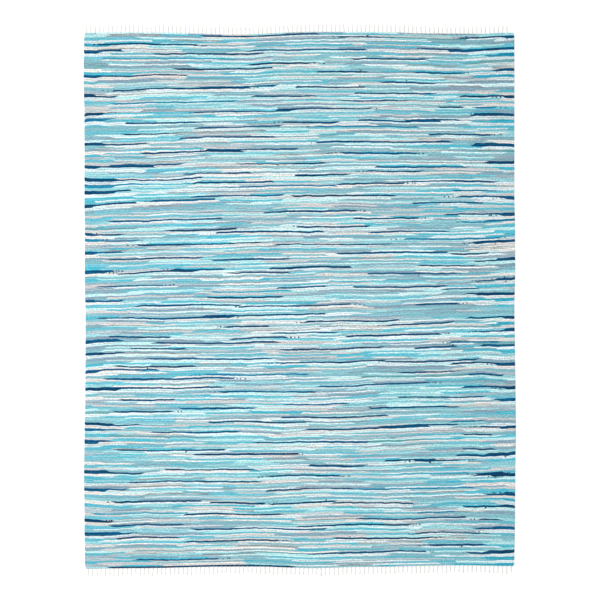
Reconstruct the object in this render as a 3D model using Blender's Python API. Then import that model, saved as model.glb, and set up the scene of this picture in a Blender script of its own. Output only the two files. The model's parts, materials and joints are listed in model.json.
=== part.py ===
"""A rag rug lying flat on the floor, as closed solids.

The rug is one woven panel and two fringes. The panel has a raised rib for each row of rag
weft, and a small scallop on its long edges wherever a strip turns back. Each fringe is the
outermost row of weft, parted from the panel by a hair, with the warp strands that come out
of it. Width runs along X, length along Y, and everything rests on z = 0.
All sizes are in metres.
"""

import math
import random
from collections import namedtuple

import bmesh
import bpy

# The woven part, with the two outermost rows, which carry the fringes
WOVEN_WIDTH = 2.440
WOVEN_LENGTH = 3.030
WEFT_ROWS = 356
ROW_PITCH = WOVEN_LENGTH / WEFT_ROWS
CREST_HEIGHT = 0.0070
VALLEY_HEIGHT = 0.0046

# The panel: the rows between those two
PANEL_ROWS = WEFT_ROWS - 2
PANEL_LENGTH = PANEL_ROWS * ROW_PITCH
PANEL_GAP = 0.0003

# A strip turns back every two rows, one row later on the right than on the left.
# A row has two lines of points, a valley and a crest.
TURN_LINES = 4
RIGHT_TURN_LAG = 2
TURN_BULGE = 0.0018
TURN_HEIGHT = 0.0058
CORNER_DRAW = 0.006
CORNER_REACH = 0.030

# How far into the panel its rows follow an uneven end, and how they wander between the ends
END_REACH = 0.70
ROW_DRIFT = 0.0045
DRIFT_ACROSS = 1.10
DRIFT_ALONG = 0.80

# The strands of a fringe
STRANDS = 99
ROOT_WIDTH = 0.0038
ROOT_HEIGHT = 0.0040
STRAND_LEAN = 0.0035
STRAND_SEED = 11

RIB_SHARP_ANGLE = math.radians(75)
FACING = 0.9

# How far each end of the weave stands out past a straight line, from place to place across it
EndPlace = namedtuple("EndPlace", "across far_out near_out")
END_PLACES = (
    EndPlace(-1.220, 0.0005, 0.0107),
    EndPlace(-0.927, 0.0055, 0.0077),
    EndPlace(-0.323, -0.0070, -0.0033),
    EndPlace(0.077, 0.0080, 0.0071),
    EndPlace(0.356, 0.0073, 0.0000),
    EndPlace(0.936, -0.0080, -0.0086),
    EndPlace(1.220, 0.0031, -0.0041),
)

# How far each long edge stands out past a straight line, from place to place along it
SidePlace = namedtuple("SidePlace", "along left_out right_out")
SIDE_PLACES = (
    SidePlace(-1.515, -0.0020, -0.0030),
    SidePlace(-1.213, 0.0013, 0.0009),
    SidePlace(-0.986, 0.0036, 0.0028),
    SidePlace(-0.759, 0.0006, 0.0061),
    SidePlace(-0.532, -0.0033, 0.0038),
    SidePlace(-0.305, -0.0045, 0.0005),
    SidePlace(-0.078, -0.0048, -0.0027),
    SidePlace(0.149, -0.0005, 0.0022),
    SidePlace(0.376, -0.0009, 0.0012),
    SidePlace(0.604, 0.0012, -0.0028),
    SidePlace(0.831, 0.0010, -0.0027),
    SidePlace(1.058, 0.0014, -0.0028),
    SidePlace(1.285, 0.0059, -0.0024),
    SidePlace(1.515, 0.0027, -0.0031),
)

# Each fringe: the end it is on, where its strands start and stop, and how long they are
Fringe = namedtuple("Fringe", "name end first last shortest longest")
FRINGES = (
    Fringe("far_fringe", 1, -1.2110, 1.1764, 0.0360, 0.0420),
    Fringe("near_fringe", -1, -1.2020, 1.1990, 0.0340, 0.0450),
)

# One strand past its root: a flattened cord with a small knot near its tip
Section = namedtuple("Section", "share width height")
STRAND_SECTIONS = (
    Section(0.56, 0.0030, 0.0028),
    Section(0.69, 0.0052, 0.0044),
    Section(1.00, 0.0026, 0.0022),
)
Strand = namedtuple("Strand", "across length lean")

# Each finish: its colour and roughness
Finish = namedtuple("Finish", "name colour roughness")
RAG = Finish("rag_weave", (0.356, 0.578, 0.645, 1.0), 0.92)
COTTON = Finish("cotton_warp", (0.800, 0.775, 0.715, 1.0), 0.90)


def between(low, high, share):
    return low + (high - low) * share


def smooth(share):
    """Rises from 0 to 1 with a soft start and a soft stop."""
    held = min(max(share, 0.0), 1.0)
    return held * held * (3.0 - 2.0 * held)


def end_out(end, across):
    """How far the far end (1) or the near end (-1) stands out at a place across the rug."""
    held = min(max(across, END_PLACES[0].across), END_PLACES[-1].across)
    for low, high in zip(END_PLACES, END_PLACES[1:]):
        if held <= high.across:
            share = (held - low.across) / (high.across - low.across)
            if end > 0:
                return between(low.far_out, high.far_out, share)
            return between(low.near_out, high.near_out, share)


def side_out(side, along):
    """How far the left edge (-1) or the right edge (1) stands out at a place along the rug."""
    held = min(max(along, SIDE_PLACES[0].along), SIDE_PLACES[-1].along)
    for low, high in zip(SIDE_PLACES, SIDE_PLACES[1:]):
        if held <= high.along:
            share = smooth((held - low.along) / (high.along - low.along))
            if side > 0:
                return between(low.right_out, high.right_out, share)
            return between(low.left_out, high.left_out, share)


def edge_across(side, along):
    """The place across the rug of a long edge, drawn in a little at the corners."""
    corner = max(0.0, 1.0 - (WOVEN_LENGTH / 2 - abs(along)) / CORNER_REACH)
    return side * (WOVEN_WIDTH / 2 + side_out(side, along) - CORNER_DRAW * corner**2)


def end_line(end, across, out):
    """The place along the rug that lies a distance out past the panel's own end."""
    return end * (PANEL_LENGTH / 2 + out + end_out(end, across))


def row_line(along, across):
    """Where a point of a straight row lies: rows follow both ends and wander between them."""
    follow_far = smooth(1.0 - (PANEL_LENGTH / 2 - along) / END_REACH)
    follow_near = smooth(1.0 - (PANEL_LENGTH / 2 + along) / END_REACH)
    drift = math.sin(math.tau * across / DRIFT_ACROSS) * math.cos(math.tau * along / DRIFT_ALONG)
    moved = follow_far * end_out(1, across) - follow_near * end_out(-1, across)
    return along + moved + (1.0 - follow_far) * (1.0 - follow_near) * ROW_DRIFT * drift


def add_grid(bm, columns, lines):
    """A flat grid of points. Yields each point with its column and its line."""
    bmesh.ops.create_grid(bm, x_segments=columns - 1, y_segments=lines - 1, size=1.0)
    for vert in bm.verts:
        column = round((vert.co.x + 1.0) / 2.0 * (columns - 1))
        line = round((vert.co.y + 1.0) / 2.0 * (lines - 1))
        yield vert, column, line


def drop_walls(bm):
    """Walls from the outline of an open top down to the floor. Returns their lower points."""
    outline = [edge for edge in bm.edges if edge.is_boundary]
    grown = bmesh.ops.extrude_edge_only(bm, edges=outline)["geom"]
    feet = [item for item in grown if isinstance(item, bmesh.types.BMVert)]
    for foot in feet:
        foot.co.z = 0.0
    return feet


def close_underside(bm):
    """One flat face over the open outline on the floor, with all faces turned outwards."""
    outline = [edge for edge in bm.edges if edge.is_boundary]
    bmesh.ops.contextual_create(bm, geom=outline)
    bmesh.ops.recalc_face_normals(bm, faces=bm.faces)


def split_wide_faces(bm):
    """Cut each face of more than four sides into well-shaped triangles."""
    wide = [face for face in bm.faces if len(face.verts) > 4]
    bmesh.ops.triangulate(bm, faces=wide, ngon_method="BEAUTY")


def finished_mesh(bm, name):
    mesh = bpy.data.meshes.new(name)
    bm.to_mesh(mesh)
    bm.free()
    mesh.shade_smooth()
    mesh.set_sharp_from_angle(angle=RIB_SHARP_ANGLE)
    return mesh


def turn_start(side, line):
    """The line between two turns that lies nearest to a line of a long edge."""
    lag = RIGHT_TURN_LAG if side > 0 else 0
    return lag + (line - lag + 1) // TURN_LINES * TURN_LINES


def lay_panel_top(bm, line_of, side_of):
    """The ribbed top of the panel. Its points keep their line, and which long edge they are on."""
    last_column = len(END_PLACES) - 1
    last_line = 2 * PANEL_ROWS
    for vert, column, line in add_grid(bm, last_column + 1, last_line + 1):
        along = -PANEL_LENGTH / 2 + line * ROW_PITCH / 2
        across = END_PLACES[column].across
        height = CREST_HEIGHT if line % 2 else VALLEY_HEIGHT
        side = {0: -1, last_column: 1}.get(column, 0)
        if side:
            across = edge_across(side, along)
            if line != turn_start(side, line):
                across += side * TURN_BULGE
                height = TURN_HEIGHT
        vert.co = (across, row_line(along, across), height)
        vert[line_of] = line
        vert[side_of] = side


def join_feet(bm, feet, line_of, side_of):
    """Join the lower points of each turn into one. Returns the pairs left across the panel."""
    places = {(foot[side_of], foot[line_of]): foot for foot in feet if foot[side_of]}
    last_line = 2 * PANEL_ROWS
    joined = {}
    for (side, line), foot in places.items():
        kept_line = turn_start(side, line)
        if kept_line != line and 0 < line < last_line:
            joined[foot] = places[side, kept_line]
    bmesh.ops.weld_verts(bm, targetmap=joined)
    left_lines = range(TURN_LINES, last_line, TURN_LINES)
    return [(places[-1, line], places[1, line - RIGHT_TURN_LAG]) for line in left_lines]


def woven_panel_mesh():
    bm = bmesh.new()
    line_of = bm.verts.layers.int.new("line")
    side_of = bm.verts.layers.int.new("side")
    lay_panel_top(bm, line_of, side_of)
    pairs = join_feet(bm, drop_walls(bm), line_of, side_of)
    close_underside(bm)
    for left, right in pairs:
        underside = next(face for face in left.link_faces if right in face.verts)
        bmesh.utils.face_split(underside, left, right)
    bm.verts.layers.int.remove(bm.verts.layers.int["line"])
    bm.verts.layers.int.remove(bm.verts.layers.int["side"])
    return finished_mesh(bm, "woven_panel")


def lay_strip_top(bm, end):
    """The top of the row of weft that carries a fringe: inner edge, crest and outer edge."""
    last_column = len(END_PLACES) - 1
    lines = (
        (PANEL_GAP, VALLEY_HEIGHT),
        (ROW_PITCH / 2, CREST_HEIGHT),
        (ROW_PITCH, ROOT_HEIGHT),
    )
    for vert, column, line in add_grid(bm, last_column + 1, len(lines)):
        out, height = lines[line]
        across = END_PLACES[column].across
        if column in (0, last_column):
            across = edge_across(math.copysign(1, across), end * (PANEL_LENGTH / 2 + out))
        vert.co = (across, end_line(end, across, out), height)


def outer_wall(bm, end):
    return [face for face in bm.faces if face.normal.y * end > FACING]


def cut_roots(bm, fringe, strands):
    """Cut the outer wall at both sides of each strand. Returns the faces the strands leave by."""
    for strand in strands:
        for side in (-1, 1):
            cut = strand.across + side * ROOT_WIDTH / 2
            for face in outer_wall(bm, fringe.end):
                places = [vert.co.x for vert in face.verts]
                if min(places) < cut < max(places):
                    near_cut = [face, *face.edges, *face.verts]
                    bmesh.ops.bisect_plane(bm, geom=near_cut, plane_co=(cut, 0, 0), plane_no=(1, 0, 0))
                    break
    wall = outer_wall(bm, fringe.end)
    return [min(wall, key=lambda face: abs(face.calc_center_median().x - strand.across))
            for strand in strands]


def grow_strands(bm, fringe, strands, roots):
    """Draw each strand out of its root, section by section, level on the floor."""
    for strand, tip in zip(strands, roots):
        for section in STRAND_SECTIONS:
            tip = bmesh.ops.extrude_discrete_faces(bm, faces=[tip])["faces"][0]
            middle = tip.calc_center_median()
            reach = ROW_PITCH + strand.length * section.share
            centre = strand.across + strand.lean * section.share**2
            for vert in tip.verts:
                side = math.copysign(section.width / 2, vert.co.x - middle.x)
                height = section.height if vert.co.z > middle.z else 0.0
                vert.co = (centre + side, end_line(fringe.end, strand.across, reach), height)


def fringe_strands(fringe):
    draw = random.Random(STRAND_SEED + fringe.end)
    strands = []
    for index in range(STRANDS):
        across = between(fringe.first, fringe.last, index / (STRANDS - 1))
        length = draw.uniform(fringe.shortest, fringe.longest)
        lean = draw.uniform(-STRAND_LEAN, STRAND_LEAN)
        strands.append(Strand(across, length, lean))
    return strands


def fringe_mesh(fringe):
    bm = bmesh.new()
    strands = fringe_strands(fringe)
    lay_strip_top(bm, fringe.end)
    drop_walls(bm)
    close_underside(bm)
    roots = cut_roots(bm, fringe, strands)
    grow_strands(bm, fringe, strands, roots)
    split_wide_faces(bm)
    bmesh.ops.recalc_face_normals(bm, faces=bm.faces)
    return finished_mesh(bm, fringe.name)


def make_material(finish):
    material = bpy.data.materials.new(finish.name)
    material.use_nodes = True
    shader = material.node_tree.nodes["Principled BSDF"]
    shader.inputs["Base Color"].default_value = finish.colour
    shader.inputs["Roughness"].default_value = finish.roughness
    shader.inputs["Metallic"].default_value = 0.0
    material.diffuse_color = finish.colour
    return material


def add_part(mesh, material, collection, centre):
    part = bpy.data.objects.new(mesh.name, mesh)
    part.data.materials.append(material)
    part.parent = centre
    collection.objects.link(part)
    return part


def middle_of(parts, axis):
    places = [vert.co[axis] for part in parts for vert in part.data.vertices]
    return (min(places) + max(places)) / 2


def build_rug():
    for old in list(bpy.data.objects):
        bpy.data.objects.remove(old, do_unlink=True)
    collection = bpy.data.collections.new("rag_rug")
    bpy.context.scene.collection.children.link(collection)
    centre = bpy.data.objects.new("rug_centre", None)
    collection.objects.link(centre)

    rag = make_material(RAG)
    cotton = make_material(COTTON)
    parts = [add_part(woven_panel_mesh(), rag, collection, centre)]
    for fringe in FRINGES:
        parts.append(add_part(fringe_mesh(fringe), cotton, collection, centre))

    # The world's origin comes to lie under the middle of the whole rug, fringes included
    centre.location = (-middle_of(parts, 0), -middle_of(parts, 1), 0.0)


build_rug()
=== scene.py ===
"""The looks of a flat-woven rag rug: rag strips packed over cotton warps, with a knotted fringe.

The cloth is woven here as it is on a loom. One long line of rag strips goes to and fro across
the warps, turns back at each selvedge, and changes shade where one strip ends and the next
begins. The rows are cut into bands of cloth only to keep each mesh small.
Width runs along X, length along Y, and row 0 is the outermost row of the far end.
All sizes are in metres.
"""

import json
import math
import random
from collections import namedtuple

import bpy
import numpy as np
from mathutils import Vector
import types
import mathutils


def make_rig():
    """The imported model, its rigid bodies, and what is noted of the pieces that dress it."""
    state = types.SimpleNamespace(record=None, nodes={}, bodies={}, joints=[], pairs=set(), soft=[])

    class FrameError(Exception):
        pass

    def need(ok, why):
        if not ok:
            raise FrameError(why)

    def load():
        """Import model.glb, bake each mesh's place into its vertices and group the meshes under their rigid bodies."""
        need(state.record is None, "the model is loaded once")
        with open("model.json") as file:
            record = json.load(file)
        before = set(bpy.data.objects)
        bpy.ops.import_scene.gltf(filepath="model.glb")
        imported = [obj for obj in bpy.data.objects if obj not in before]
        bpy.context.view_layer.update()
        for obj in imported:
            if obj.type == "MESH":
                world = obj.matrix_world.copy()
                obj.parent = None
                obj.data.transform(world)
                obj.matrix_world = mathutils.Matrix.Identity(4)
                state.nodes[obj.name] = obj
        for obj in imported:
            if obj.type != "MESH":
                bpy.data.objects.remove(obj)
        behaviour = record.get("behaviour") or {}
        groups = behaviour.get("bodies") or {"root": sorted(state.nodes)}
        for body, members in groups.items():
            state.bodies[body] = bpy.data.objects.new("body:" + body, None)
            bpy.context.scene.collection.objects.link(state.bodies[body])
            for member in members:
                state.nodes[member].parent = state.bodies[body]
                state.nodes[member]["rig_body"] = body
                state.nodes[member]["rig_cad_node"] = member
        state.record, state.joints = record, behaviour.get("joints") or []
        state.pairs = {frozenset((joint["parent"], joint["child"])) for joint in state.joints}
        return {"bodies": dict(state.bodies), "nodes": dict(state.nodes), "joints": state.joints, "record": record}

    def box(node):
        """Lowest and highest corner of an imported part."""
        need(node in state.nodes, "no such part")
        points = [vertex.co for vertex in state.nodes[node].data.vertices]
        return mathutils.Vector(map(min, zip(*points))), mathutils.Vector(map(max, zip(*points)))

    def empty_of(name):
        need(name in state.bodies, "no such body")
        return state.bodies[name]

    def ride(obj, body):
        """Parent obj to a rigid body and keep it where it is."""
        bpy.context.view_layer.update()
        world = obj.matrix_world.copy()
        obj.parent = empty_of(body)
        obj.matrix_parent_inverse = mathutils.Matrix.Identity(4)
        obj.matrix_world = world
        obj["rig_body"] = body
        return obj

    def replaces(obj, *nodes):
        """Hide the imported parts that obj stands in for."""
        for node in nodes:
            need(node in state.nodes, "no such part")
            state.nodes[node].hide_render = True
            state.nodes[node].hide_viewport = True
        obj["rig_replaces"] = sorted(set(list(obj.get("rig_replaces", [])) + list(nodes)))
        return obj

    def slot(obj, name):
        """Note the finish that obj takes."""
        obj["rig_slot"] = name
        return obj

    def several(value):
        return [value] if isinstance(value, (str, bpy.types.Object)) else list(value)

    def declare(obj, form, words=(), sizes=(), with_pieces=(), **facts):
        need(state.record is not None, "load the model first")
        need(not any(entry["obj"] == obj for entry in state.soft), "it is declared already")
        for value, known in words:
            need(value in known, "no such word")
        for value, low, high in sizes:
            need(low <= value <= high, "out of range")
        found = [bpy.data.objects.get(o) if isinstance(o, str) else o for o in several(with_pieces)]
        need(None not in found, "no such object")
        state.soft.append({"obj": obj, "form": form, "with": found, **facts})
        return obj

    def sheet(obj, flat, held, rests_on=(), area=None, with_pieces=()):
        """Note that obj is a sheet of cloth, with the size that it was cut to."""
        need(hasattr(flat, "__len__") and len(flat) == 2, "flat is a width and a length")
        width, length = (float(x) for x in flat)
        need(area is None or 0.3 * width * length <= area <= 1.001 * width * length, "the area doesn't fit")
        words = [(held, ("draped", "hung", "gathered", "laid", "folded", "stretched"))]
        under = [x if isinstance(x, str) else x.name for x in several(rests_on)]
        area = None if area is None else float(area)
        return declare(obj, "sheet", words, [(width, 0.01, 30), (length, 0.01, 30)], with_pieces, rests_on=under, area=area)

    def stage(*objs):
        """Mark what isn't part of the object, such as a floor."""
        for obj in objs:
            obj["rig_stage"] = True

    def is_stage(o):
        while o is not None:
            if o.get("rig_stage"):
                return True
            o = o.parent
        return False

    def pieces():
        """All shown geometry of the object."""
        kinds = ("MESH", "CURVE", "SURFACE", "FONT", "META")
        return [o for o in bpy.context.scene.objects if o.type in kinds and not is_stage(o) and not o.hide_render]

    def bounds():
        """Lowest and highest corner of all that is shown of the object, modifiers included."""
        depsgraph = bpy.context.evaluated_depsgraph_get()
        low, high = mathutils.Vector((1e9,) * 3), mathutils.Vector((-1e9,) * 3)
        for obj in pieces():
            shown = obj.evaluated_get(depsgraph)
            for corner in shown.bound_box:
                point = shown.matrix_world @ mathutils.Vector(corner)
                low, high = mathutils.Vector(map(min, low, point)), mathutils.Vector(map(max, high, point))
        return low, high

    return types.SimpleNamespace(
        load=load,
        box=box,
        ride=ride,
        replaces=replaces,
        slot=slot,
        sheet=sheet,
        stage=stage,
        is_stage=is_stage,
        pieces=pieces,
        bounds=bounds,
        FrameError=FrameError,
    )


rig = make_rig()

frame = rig.load()
cad_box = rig.bounds()

# ---- Sizes of the cloth -------------------------------------------------------------------
WOVEN_WIDTH = 2.440
WOVEN_LENGTH = 3.030
WEFT_ROWS = 356
ROW_PITCH = WOVEN_LENGTH / WEFT_ROWS
# Two warps run into each strand of the fringe
STRANDS = 99
WARP_GAPS = 2 * STRANDS + 1
BANDS = 8

# Heights of a row's crest, and of the valley between two rows on the top and on the underside
CREST = 0.0070
VALLEY = 0.0041
UNDER_VALLEY = 0.0012
# How far a warp holds a row down, how much that varies, and how flat the row's back is
DIMPLE_DROP = 0.0012
DIMPLE_RANGE = (0.35, 1.35)
CROWN_POWER = 0.62
# Where the lines of points run along a row, and how far they lean at each warp and stray
ROW_LINES = (0.0, 0.22, 0.50, 0.78)
WARP_NUDGE = 0.0003
LINE_JITTER = 0.0005
# A thin row lies lower by THIN_DROP for each 1 that its swell falls short of THICK_SWELL
THICK_SWELL = 1.15
THIN_MOST = 0.4
THIN_DROP = 0.002
# The outermost rows: how much of each is round, and its lines from the panel's side outwards
OUTER_ROUND = 0.45
OUTER_RING = (0.0, 0.22, 0.50, 0.80, 0.94)

# The rounded selvedge, where a strip turns back every two rows. Each turn stands out, and fills
# the valley between its two rows.
SELVEDGE_RADIUS = 0.0062
SELVEDGE_OFFSETS = (0.0007, 0.0026, 0.0060)
TURN_BULGE = 0.0018
TURN_REACH = 0.012
TURN_FILL = 0.0036
TURN_LEVEL = 0.45
TURN_TOP = 0.0054
TURN_SQUARENESS = 0.6
SELVEDGE_DROP = 0.0006
CORNER_DRAW = 0.006
CORNER_REACH = 0.030
UNDER_COLUMNS = 40

# How the rows swell with their rags and push each other, over some warps and rows. The first
# and last few rows stay calm.
SWELL_SHARE = 0.95
SWELL_SOFTNESS = 4.5
SETTLE_ROWS = 28
CALM_ROWS = 8
WOBBLE_SHARE = 0.15
FINE_WOBBLE_SHARE = 0.05
FINE_SOFTNESS = 1.1
JOIN_SWELL = 0.16
JOIN_SWELL_REACH = 0.020

WEAVE_SEED = 25
# One map says where each face corner is on the weave, and one where its colours are baked
WEAVE_MAP = "Weave"
BAKE_MAP = "OFBake"
BAKE_MARGIN = 0.004
# The map's parts of an outermost row, one above another, and of a torn end have wider margins
SHELF_MARGIN = 0.05
CELL_MARGIN = 0.1
MERGE_DISTANCE = 0.00002
OUTER_SHELVES = 4
# How far out an outermost row counts for shading, so that its outer side gets no painted shade of a gap
OUTER_SHADE = 0.84
# So far from a join, the place of the join is no longer kept
JOIN_SEEN = 0.2

# The fringe: warp ends that leave the outermost rows, each of two plies with a knot near its tip
STRAND_LEAN = 0.0035
STRAND_SIDES = 6
STRAND_PLIES = 2
STRAND_LOBES = 0.12
STRAND_TURNS = 3.0
STRAND_SWAY = 0.0008
STRAND_THICKNESS = (0.90, 1.12)
STRAND_CLEARANCE = 1.18
STRAND_ROOT_DEPTH = 0.0035
STRAND_ROOT_LIFT = 0.0016
STRAND_ROOT_START = -0.002
STRAND_ROOT_REACH = 0.012
# The rings between these two shares move together, with the knot
KNOT_FROM, KNOT_TO = 0.3, 0.9
KNOT_SHIFT = 0.05
# Each end's fringe: its row, the places of its first and last strand, and its range of lengths
Fringe = namedtuple("Fringe", "node row end first last shortest longest length_seed bend_seed")
FRINGES = (
    Fringe("far_fringe", 0, 1, -1.2110, 1.1764, 0.0378, 0.0440, 12, 68),
    Fringe("near_fringe", WEFT_ROWS - 1, -1, -1.2020, 1.1990, 0.0350, 0.0460, 10, 54),
)
# A strand's thickness from its root to its tip, with a knot past the middle and a frayed tip
Ring = namedtuple("Ring", "share width height")
STRAND_RINGS = (
    Ring(0.00, 0.0064, 0.0028),
    Ring(0.12, 0.0064, 0.0028),
    Ring(0.26, 0.0060, 0.0026),
    Ring(0.42, 0.0061, 0.0026),
    Ring(0.56, 0.0054, 0.0025),
    Ring(0.60, 0.0064, 0.0040),
    Ring(0.67, 0.0068, 0.0044),
    Ring(0.72, 0.0046, 0.0026),
    Ring(0.84, 0.0056, 0.0022),
    Ring(1.00, 0.0068, 0.0014),
)

# Torn ends of dark rags that come up again past the end of their strip, or loose beside it: how
# light such a rag may be, how often they show, how far apart, and how far from the long edges
TUFT_SEED = 31
TUFT_DARK = 0.35
TUFT_SHARE = 0.26
LOOSE_TUFT_SHARE = 0.16
TUFT_STEP = (0.011, 0.030)
TUFT_INSET = 0.03
TUFT_CELLS = 17
TUFTS_TOGETHER = 3
TUFT_LENGTH = (0.0065, 0.0140)
TUFT_WIDTH = (0.0048, 0.0074)
TUFT_HEIGHT = 0.0050
TUFT_SUNK = 0.0002
TUFT_UNEVEN = (0.70, 1.30)
TUFT_TAPER = 0.45
TUFT_TURN = 0.5
# Half of what each takes up on the weave's map, in warps and rows
TUFT_ON_WEAVE = (0.3, 0.2)
TUFT_SEGMENTS = 8
TUFT_RINGS = 5

# The studio
FLOOR_SIZE = 14.0
FLOOR_GAP = 0.0004
SENSOR_WIDTH = 36.0
CAMERA_HEIGHT = 9.0
VIEW_WIDTH = 3.4085
VIEW_MIDDLE_X = 0.0016
VIEW_MIDDLE_Y = -0.0005

# How far each end of the weave stands out past a straight line, from place to place across it
EndPlace = namedtuple("EndPlace", "across far_out near_out")
END_PLACES = (
    EndPlace(-1.220, 0.0005, 0.0107),
    EndPlace(-0.927, 0.0055, 0.0077),
    EndPlace(-0.323, -0.0070, -0.0033),
    EndPlace(0.077, 0.0080, 0.0071),
    EndPlace(0.356, 0.0073, 0.0000),
    EndPlace(0.936, -0.0080, -0.0086),
    EndPlace(1.220, 0.0031, -0.0041),
)

# How far each long edge stands out past a straight line, from place to place along it
SidePlace = namedtuple("SidePlace", "along left_out right_out")
SIDE_PLACES = (
    SidePlace(-1.515, -0.0020, -0.0030),
    SidePlace(-1.213, 0.0013, 0.0009),
    SidePlace(-0.986, 0.0036, 0.0028),
    SidePlace(-0.759, 0.0006, 0.0061),
    SidePlace(-0.532, -0.0033, 0.0038),
    SidePlace(-0.305, -0.0045, 0.0005),
    SidePlace(-0.078, -0.0048, -0.0027),
    SidePlace(0.149, -0.0005, 0.0022),
    SidePlace(0.376, -0.0009, 0.0012),
    SidePlace(0.604, 0.0012, -0.0028),
    SidePlace(0.831, 0.0010, -0.0027),
    SidePlace(1.058, 0.0014, -0.0028),
    SidePlace(1.285, 0.0059, -0.0024),
    SidePlace(1.515, 0.0027, -0.0031),
)

# How the rows lie between the two ends: how much higher up the rug each one is at the right
# selvedge than at the left, and how far its middle third stands out towards the far end
RowLie = namedtuple("RowLie", "along rise hump")
ROW_LIES = (
    RowLie(-1.15, 0.031, -0.003),
    RowLie(-0.75, 0.026, -0.004),
    RowLie(-0.40, 0.036, -0.004),
    RowLie(0.00, 0.047, -0.003),
    RowLie(0.40, 0.041, 0.003),
    RowLie(0.75, 0.030, 0.007),
    RowLie(1.15, 0.020, 0.006),
)

# Where the rug lies in the frame: the panel's own low corner gives the place of its middle
PANEL_LENGTH = WOVEN_LENGTH - 2 * ROW_PITCH
panel_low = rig.box("woven_panel")[0]
MIDDLE_X = panel_low.x + WOVEN_WIDTH / 2 + max(place.left_out for place in SIDE_PLACES) + TURN_BULGE
MIDDLE_Y = panel_low.y + PANEL_LENGTH / 2 + max(place.near_out for place in END_PLACES)

# ---- The rags -----------------------------------------------------------------------------
# Each shade of rag: the tone wanted of the next strip that it answers best, its colour as on a
# screen, the shade that its fold shows, how thick its strips pack, and how common it is in the
# field and at the turns
Shade = namedtuple("Shade", "name tone colour fold bulk field turns")
SHADES = (
    Shade("navy", 0.68, (0, 60, 97), "ink_blue", 1.04, 40.0, 0.0),
    Shade("ink_blue", 0.51, (0, 104, 151), "teal", 0.95, 13.0, 4.0),
    Shade("teal", 0.43, (36, 161, 191), "turquoise", 0.95, 8.0, 20.0),
    Shade("turquoise", 0.62, (76, 189, 210), "aqua", 1.03, 15.0, 20.0),
    Shade("aqua", 0.76, (139, 198, 211), "pale_aqua", 1.02, 8.0, 9.0),
    Shade("pale_aqua", 0.91, (180, 235, 236), "white", 1.02, 11.0, 5.0),
    Shade("white", 0.94, (230, 245, 248), "light_grey", 1.08, 19.0, 12.0),
    Shade("cream", 0.93, (237, 238, 234), "blush", 1.06, 4.0, 11.0),
    Shade("blush", 0.79, (217, 212, 210), "light_grey", 0.91, 5.0, 4.0),
    Shade("light_grey", 0.77, (183, 205, 211), "grey", 0.99, 3.0, 3.0),
    Shade("grey_aqua", 0.78, (137, 189, 199), "aqua", 1.02, 7.0, 6.0),
    Shade("grey", 0.65, (138, 161, 179), "grey_aqua", 0.97, 9.0, 7.0),
    Shade("slate", 0.51, (95, 157, 162), "grey_aqua", 0.93, 10.0, 5.0),
    Shade("taupe", 0.56, (138, 149, 151), "cream", 0.78, 4.0, 3.0),
)
SHADE_BY_NAME = {shade.name: shade for shade in SHADES}

# The weaver evens out the rows above: the tone wanted of a strip leans away from theirs by these
# pulls, nearest row first, so that light and middle rows change about every three rows
MEAN_TONE = 0.74
TONE_PULLS = (0.68, 0.54, -0.06) + 12 * (0.12,)
TONE_SPREAD = 0.143
TURN_PULL = 0.60
TURN_BULK = 1.0
# Dark rags keep apart: how dark those are, how many rows back they count, and how strongly
DARK = 0.56
DARK_ROWS = 8
DARK_APART = 8.2
# None of them lies in the first rows
LIGHT_ROWS = 3
# How much longer than the others they are
DARK_STRETCH = 1.4
# How long the strips are, and the least that is left for the last one before a turn
STRIP_LENGTH = (0.18, 0.56)
SHORTEST_STRIP = 0.12
# The same for a strip round a turn, and how much of it lies before the turn
TURN_LENGTH = (0.20, 0.50)
TURN_SPLIT = (0.14, 0.86)
# How far a torn join runs slantwise along its row
JOIN_SLANT = (0.006, 0.050)
TURN_SLANT = (0.008, 0.050)
# How strips of one shade differ: tint, thickness, how far they fade to their fold's colour and
# over what length, and how much of the row their fold covers
TINT_RANGE = (0.93, 1.07)
BULK_RANGE = (0.86, 1.14)
MOST_FADING = 0.55
FADING_LENGTH = (0.12, 0.40)
MOST_FOLD = 0.55
# The strips of the outermost rows, each with the place across the rug where it ends
EDGE_STRIPS = {
    0: (
        ("pale_aqua", -0.63), ("light_grey", -0.44), ("cream", -0.28), ("aqua", -0.09),
        ("light_grey", 0.26), ("pale_aqua", 0.56), ("light_grey", 0.84), ("aqua", 1.22),
    ),
    WEFT_ROWS - 1: (
        ("aqua", -1.13), ("navy", -0.03), ("grey_aqua", 0.46), ("teal", 0.55),
        ("grey_aqua", 1.10), ("teal", 1.22),
    ),
}
# The rags are picked lighter or darker from place to place across the rug, darkest at its right edge
TonePlace = namedtuple("TonePlace", "across tone")
TONE_PLACES = (
    TonePlace(-1.22, -0.05), TonePlace(-0.90, -0.11), TonePlace(-0.50, -0.03),
    TonePlace(-0.05, 0.04), TonePlace(0.40, -0.02), TonePlace(1.22, -0.18),
)
# The share of the studio's light that a rag of screen-white would give back
RAG_WHITE = 0.87

# The rows between which navy strips turn back, counted from the far end
NAVY_TURNS_LEFT = (
    13, 27, 41, 53, 73, 87, 95, 103, 111, 133, 143, 157, 175,
    203, 213, 223, 237, 261, 271, 291, 305, 325, 331,
)
NAVY_TURNS_RIGHT = (
    3, 11, 25, 43, 55, 75, 87, 111, 123, 141, 153, 167, 177, 193, 201,
    211, 223, 239, 247, 265, 283, 297, 309, 317, 331, 347,
)

# One strip of rag as it lies in one row, from the last strip's end to its own
Strip = namedtuple("Strip", "start end slant look")
# What a strip looks like wherever it goes, also past a turn
Look = namedtuple("Look", "name lightness bulk colour other fold reach phase stretch")


def linear(colour):
    """A screen colour as the light that it stands for."""
    share = np.array(colour, dtype=float) / 255.0
    return np.where(share <= 0.04045, share / 12.92, ((share + 0.055) / 1.055) ** 2.4)


def smooth(share):
    """Rises from 0 to 1 with a soft start and a soft stop."""
    held = np.clip(share, 0.0, 1.0)
    return held * held * (3.0 - 2.0 * held)


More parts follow.
